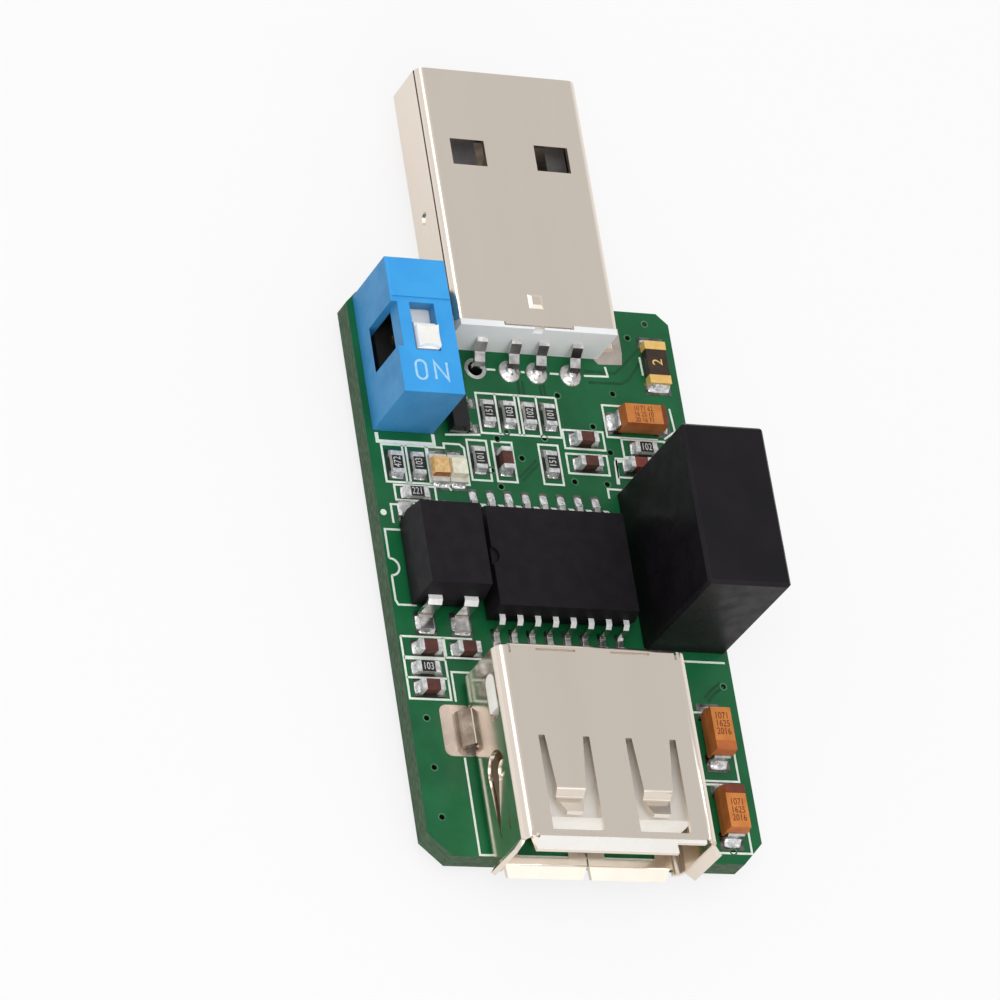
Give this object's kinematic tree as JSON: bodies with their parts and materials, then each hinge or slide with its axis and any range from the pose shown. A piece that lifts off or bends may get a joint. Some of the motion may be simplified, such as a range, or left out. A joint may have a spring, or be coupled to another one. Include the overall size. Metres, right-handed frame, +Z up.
{
  "type": "usb isolator",
  "caption": "Bare circuit board stick with a USB type A plug at one end and a socket at the other, joined through an isolator chip, a potted converter and a slide switch.",
  "frame": {"origin": "middle of the outline seen from above, at the level of the lead tips under the board", "axes": "+Y from the socket's mouth towards the plug's tip, +Z up from the side that carries the components"},
  "size_m": [0.0238, 0.0584, 0.0127],
  "materials": {
    "board_laminate": "glossy green solder mask over glass-fibre laminate",
    "shell_steel": "bright nickel-plated steel sheet",
    "contact_brass": "tin or gold-plated copper alloy strip",
    "lead_metal": "tinned lead frame",
    "grey_plastic": "light grey moulded insulator",
    "white_plastic": "white moulded plastic",
    "blue_plastic": "blue moulded switch cover",
    "black_epoxy": "black moulding compound",
    "potted_case": "glossy black case and its potting",
    "black_ceramic": "dark glaze over a ceramic chip with tinned ends",
    "brown_ceramic": "brown ceramic with tinned ends",
    "orange_resin": "orange moulded resin",
    "fuse_ceramic": "dark brown body with gold-coloured ends",
    "amber_lens": "clear amber resin",
    "white_lens": "milky resin",
    "solder": "shiny solder"
  },
  "bodies": {
    "board": {"amber_lamp_lens": "amber_lens", "capacitor_1": "brown_ceramic", "capacitor_2": "brown_ceramic", "capacitor_3": "brown_ceramic", "capacitor_4": "brown_ceramic", "capacitor_5": "brown_ceramic", "capacitor_6": "brown_ceramic", "capacitor_7": "brown_ceramic", "circuit_board": "board_laminate", "converter_case": "potted_case", "converter_pins": "lead_metal", "converter_potting": "potted_case", "coupler_body": "black_epoxy", "coupler_leads": "lead_metal", "fuse": "fuse_ceramic", "isolator_chip": "black_epoxy", "isolator_leads": "lead_metal", "lamp_bases": "white_plastic", "plug_contact_1": "contact_brass", "plug_contact_2": "contact_brass", "plug_contact_3": "contact_brass", "plug_contact_4": "contact_brass", "plug_insulator": "grey_plastic", "plug_shell": "shell_steel", "resistor_1": "black_ceramic", "resistor_10": "black_ceramic", "resistor_11": "black_ceramic", "resistor_2": "black_ceramic", "resistor_3": "black_ceramic", "resistor_4": "black_ceramic", "resistor_5": "black_ceramic", "resistor_6": "black_ceramic", "resistor_7": "black_ceramic", "resistor_8": "black_ceramic", "resistor_9": "black_ceramic", "socket_contact_1": "contact_brass", "socket_contact_2": "contact_brass", "socket_contact_3": "contact_brass", "socket_contact_4": "contact_brass", "socket_insulator": "white_plastic", "socket_shell": "shell_steel", "solder_domes": "solder", "solder_fillets": "solder", "solder_joints": "solder", "switch_base": "black_epoxy", "switch_housing": "blue_plastic", "switch_terminal_front": "contact_brass", "switch_terminal_rear": "contact_brass", "tantalum_1": "orange_resin", "tantalum_2": "orange_resin", "tantalum_3": "orange_resin", "tantalum_leads": "lead_metal", "transistor_body": "black_epoxy", "transistor_leads": "lead_metal", "white_lamp_lens": "white_lens"},
    "slider": {"switch_slider": "white_plastic", "switch_wiper": "contact_brass"}
  },
  "joints": [
    {"name": "switch_slide", "type": "slide", "parent": "board", "child": "slider", "axis": [0, 1, 0], "range_m": [0, 0.0012]}
  ]
}
